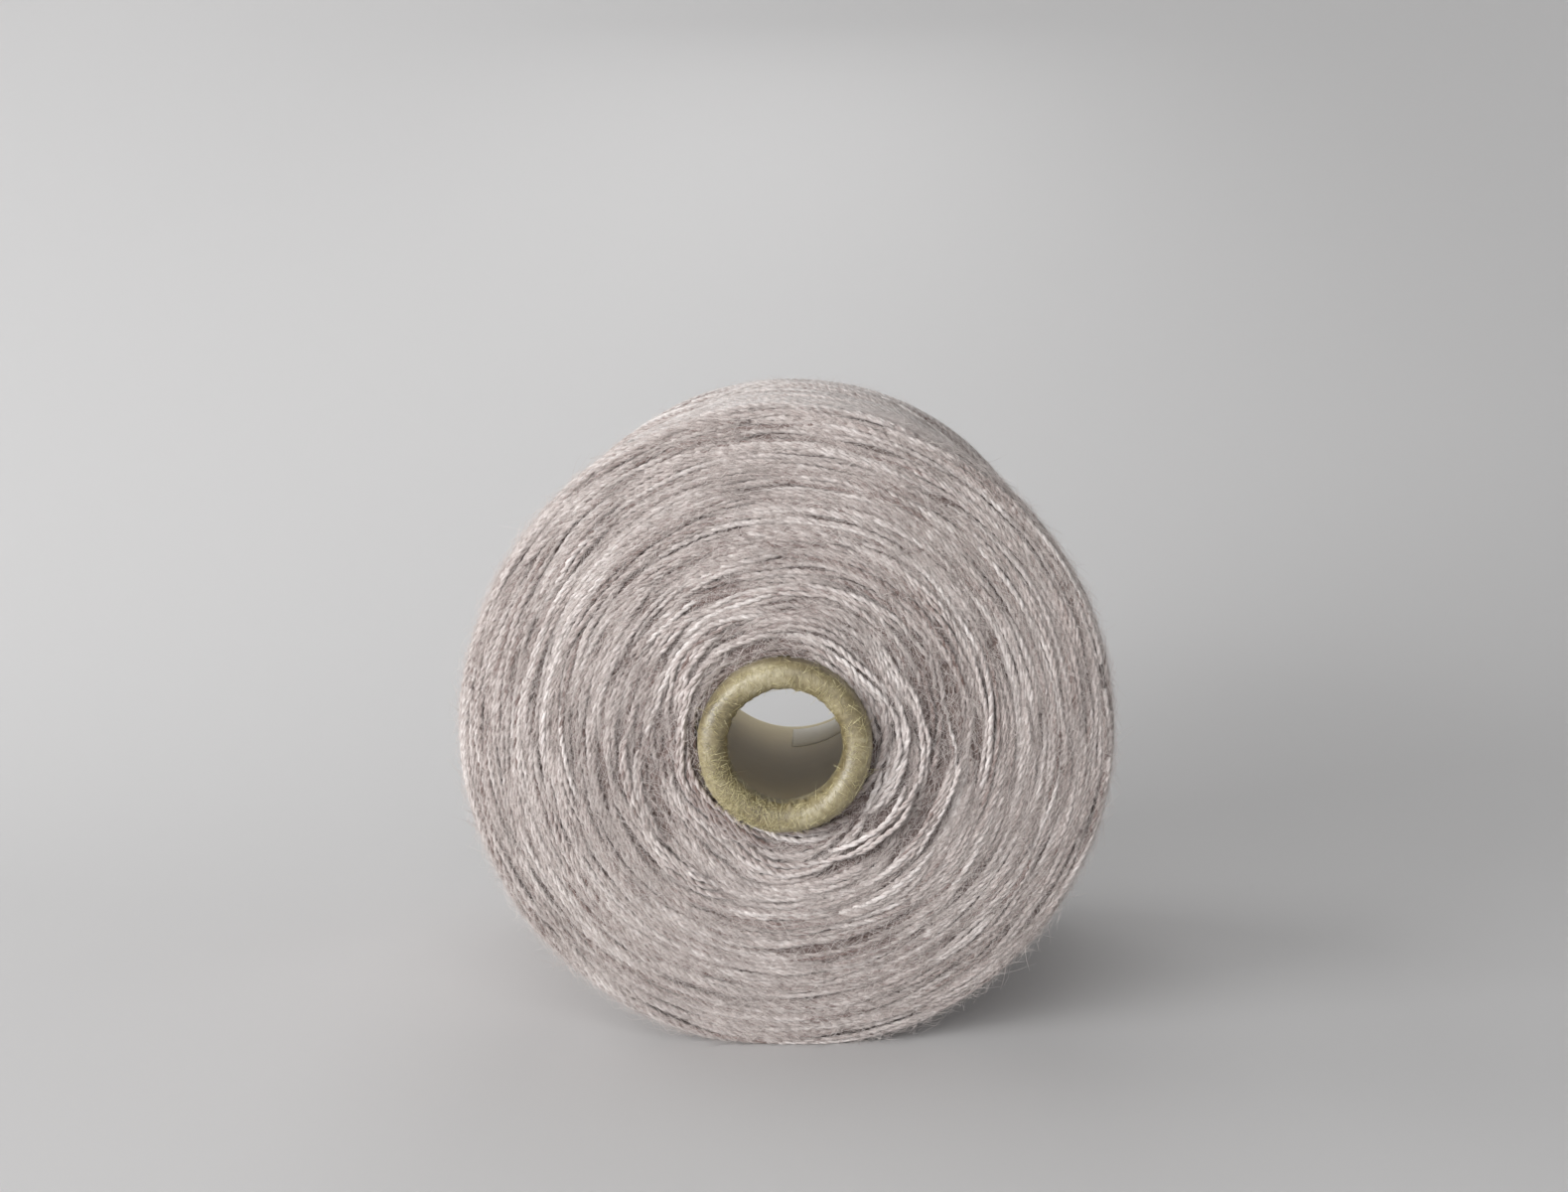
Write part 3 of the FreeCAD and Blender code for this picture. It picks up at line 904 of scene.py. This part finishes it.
def make_paper_fibres(material):
    """Short pale fibres that stand off the curled nose, about half of them low on the left."""
    count = 1100
    tuft_share = 0.45
    tuft_angle = math.radians(-125)
    tuft_spread = 0.42
    curl_span = (0.12, 0.92)
    shortest = 0.6
    thickness = (0.07, 0.13)
    rng = np.random.default_rng(6)
    angle = rng.uniform(0, FULL_TURN, count)
    tufted = rng.random(count) < tuft_share
    angle[tufted] = rng.normal(tuft_angle, tuft_spread, tufted.sum())
    curl = rng.uniform(*curl_span, count) * math.pi
    r = BORE_RADIUS + CURL_RADIUS + CURL_RADIUS * np.cos(curl)
    s = CURL_RADIUS - CURL_RADIUS * np.sin(curl)
    outwards = radial(angle) * np.cos(curl)[:, None] - ALONG * np.sin(curl)[:, None]
    round_it = np.cross(radial(angle), ALONG)
    over_curl = np.cross(outwards, round_it)
    way = round_it * rng.normal(0, 0.6, count)[:, None]
    way = way + over_curl * rng.normal(0, 1, count)[:, None]
    way /= np.linalg.norm(way, axis=1, keepdims=True)
    length = rng.gamma(3.0, 0.45, count) + shortest
    lift = outwards * rng.gamma(2.0, 0.09, count)[:, None]
    width = rng.uniform(*thickness, count)
    root = placed(r, angle, s)
    return make_fibres("paper_fibres", rng, root, way, lift, length, width, material)


def make_label(material):
    """The blank patch inside the cone, low on the right and thinned out at its edges."""
    across = 48
    long_way = 56
    far_s = CONE_LENGTH - LABEL_TO_BASE
    near_s = far_s - LABEL_LENGTH
    sweep = LABEL_WIDTH / float(cone_inner((near_s + far_s) / 2))
    angle = np.linspace(-math.pi / 2, -math.pi / 2 + sweep, across)
    s = np.linspace(near_s, far_s, long_way)
    u = np.linspace(0, 1, across)[None, :]
    v = np.linspace(0, 1, long_way)[:, None]
    to_side = np.minimum(u, 1 - u) * LABEL_WIDTH
    to_end = np.minimum(v, 1 - v) * LABEL_LENGTH
    to_edge = np.minimum(to_side, to_end)
    full = LABEL_THICKNESS - LABEL_EDGE_THICKNESS
    thick = LABEL_EDGE_THICKNESS + full * ease(0, LABEL_EDGE_WIDTH, to_edge)
    wall = np.repeat(cone_inner(s)[:, None] - LABEL_GLUE, across, axis=1)
    outer = placed(wall, angle[None, :], s[:, None])
    inner = placed(wall - thick, angle[None, :], s[:, None])
    points = np.concatenate([outer.reshape(-1, 3), inner.reshape(-1, 3)])
    index = np.arange(long_way * across).reshape(long_way, across)
    flip = index + long_way * across
    front = np.stack([index[:-1, :-1], index[1:, :-1], index[1:, 1:], index[:-1, 1:]], -1)
    back = np.stack([flip[:-1, :-1], flip[:-1, 1:], flip[1:, 1:], flip[1:, :-1]], -1)
    border = np.concatenate([index[0, :-1], index[:-1, -1], index[-1, :0:-1], index[:0:-1, 0]])
    step = np.roll(border, -1)
    rim = np.stack([border, step, step + long_way * across, border + long_way * across], -1)
    quads = np.concatenate([front.reshape(-1, 4), back.reshape(-1, 4), rim])
    made = mesh_object("blank_label", points, quads.ravel(), np.full(len(quads), 4))
    made.data.materials.append(material)
    return made


# Stage, light and camera


def make_stage():
    """A pale table that curves up into a backdrop."""
    shader = Shader("stage_paper")
    material = shader.finish(
        Base_Color=(0.66, 0.655, 0.655, 1), Roughness=0.95, Specular_IOR_Level=0.1
    )
    near = -1500.0
    far = 60.0
    curve = 900.0
    lean = math.radians(5.0)
    length = 2500.0
    half_width = 2200.0
    bend = np.linspace(0, math.pi / 2 - lean, 32)
    y = np.concatenate([[near], far + curve * np.sin(bend)])
    z = np.concatenate([[0.0], curve - curve * np.cos(bend)])
    y = np.append(y, y[-1] + length * math.cos(bend[-1]))
    z = np.append(z, z[-1] + length * math.sin(bend[-1]))
    left = np.stack([np.full(len(y), -half_width), y, z], -1)
    right = left * [-1, 1, 1]
    points = np.concatenate([left, right])
    low = np.arange(len(y) - 1)
    quads = np.stack([low, low + len(y), low + len(y) + 1, low + 1], -1)
    stage = mesh_object("stage", points, quads.ravel(), np.full(len(quads), 4))
    stage.data.materials.append(material)


def area_light(name, bearing, rise, distance, width, height, power):
    """A soft light that faces the package. bearing is in degrees from the right towards
    the back, rise in degrees above the table, and lengths are in metres."""
    lamp = bpy.data.lights.new(name, "AREA")
    lamp.shape = "RECTANGLE"
    lamp.size = width
    lamp.size_y = height
    lamp.energy = power
    made = bpy.data.objects.new(name, lamp)
    aim = Vector((0, 0.05, 0.08))
    round_z = Matrix.Rotation(math.radians(bearing), 3, "Z")
    away = round_z @ Matrix.Rotation(math.radians(-rise), 3, "Y") @ Vector((1, 0, 0))
    made.location = aim + away * distance
    made.rotation_euler = (-away).to_track_quat("-Z", "Y").to_euler()
    made.visible_camera = False
    bpy.context.scene.collection.objects.link(made)


def make_light():
    """A low window on the left, a little in front, in a pale room."""
    for lamp in LAMPS:
        area_light(*lamp)
    world = bpy.data.worlds.new("room")
    world.use_nodes = True
    room = world.node_tree.nodes["Background"]
    room.inputs["Color"].default_value = (1, 1, 1, 1)
    room.inputs["Strength"].default_value = ROOM_STRENGTH
    bpy.context.scene.world = world


def make_camera():
    """The camera of the photograph: nearly level, and a little higher than the nose. Its
    place is measured from the nose, and its lens from the picture's width in pixels."""
    distance = 310.07
    rise = 30.95
    aside = -0.18
    pitch = math.radians(-1.757)
    yaw = math.radians(0.957)
    focal_px = 1517.7
    picture_px = 1579.0
    sensor = 36.0
    turn = Matrix.Rotation(pitch, 3, "X") @ Matrix.Rotation(yaw, 3, "Z")
    offset = turn @ Vector((aside, -distance, rise))
    nose = Vector(TIP + ALONG * CURL_RADIUS)
    camera = bpy.data.cameras.new("camera")
    camera.sensor_width = sensor
    camera.lens = focal_px / picture_px * sensor
    camera.clip_start = 0.01
    camera.clip_end = 20.0
    made = bpy.data.objects.new("camera", camera)
    made.location = (nose + offset) * MM
    made.rotation_mode = "QUATERNION"
    ahead = turn @ Vector((0, 1, 0))
    up = turn @ Vector((0, 0, 1))
    side = ahead.cross(up)
    made.rotation_quaternion = Matrix((side, up, -ahead)).transposed().to_quaternion()
    bpy.context.scene.collection.objects.link(made)
    bpy.context.scene.camera = made


# The scene

bpy.context.scene.view_settings.view_transform = "Standard"

shades = linear(110, 89, 83), linear(184, 173, 169), linear(230, 223, 220)
plied = yarn_material("yarn_plied", 0.0, *shades)
banded = yarn_material("yarn_banded", 0.5, *shades)
fibre = hair_material()

front = make_face_yarn(
    "front_yarn", 11, FRONT_FACE, sides=5, spacing=1.75, step=0.85, material=plied
)
base = make_face_yarn(
    "base_yarn", 12, BASE_FACE, sides=4, spacing=1.9, step=1.3, material=plied
)
side = make_side_yarn(banded)
body = make_yarn_body(body_material())
fuzz = make_face_fibres("front_fuzz", 31, FRONT_FACE, count=34000, material=fibre)
fuzz += make_face_fibres("base_fuzz", 32, BASE_FACE, count=8000, material=fibre)
fuzz += make_side_fibres("side_fuzz", 33, count=18000, material=fibre)
tube = make_paper_cone(paper_material())
paper_fibres = make_paper_fibres(paper_fibre_material())
label = make_label(label_material())

for piece in front + base + side + fuzz + [body]:
    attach(piece, "root")
for piece in [tube] + paper_fibres:
    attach(piece, "root")
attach(label, "root")
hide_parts("paper_cone")
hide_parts("inside_label")
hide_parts("yarn_package")
for piece in front:
    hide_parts("front_face_turns")
for piece in base:
    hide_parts("base_face_turns")
for piece in side:
    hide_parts("side_turns")

make_stage()
make_light()
make_camera()
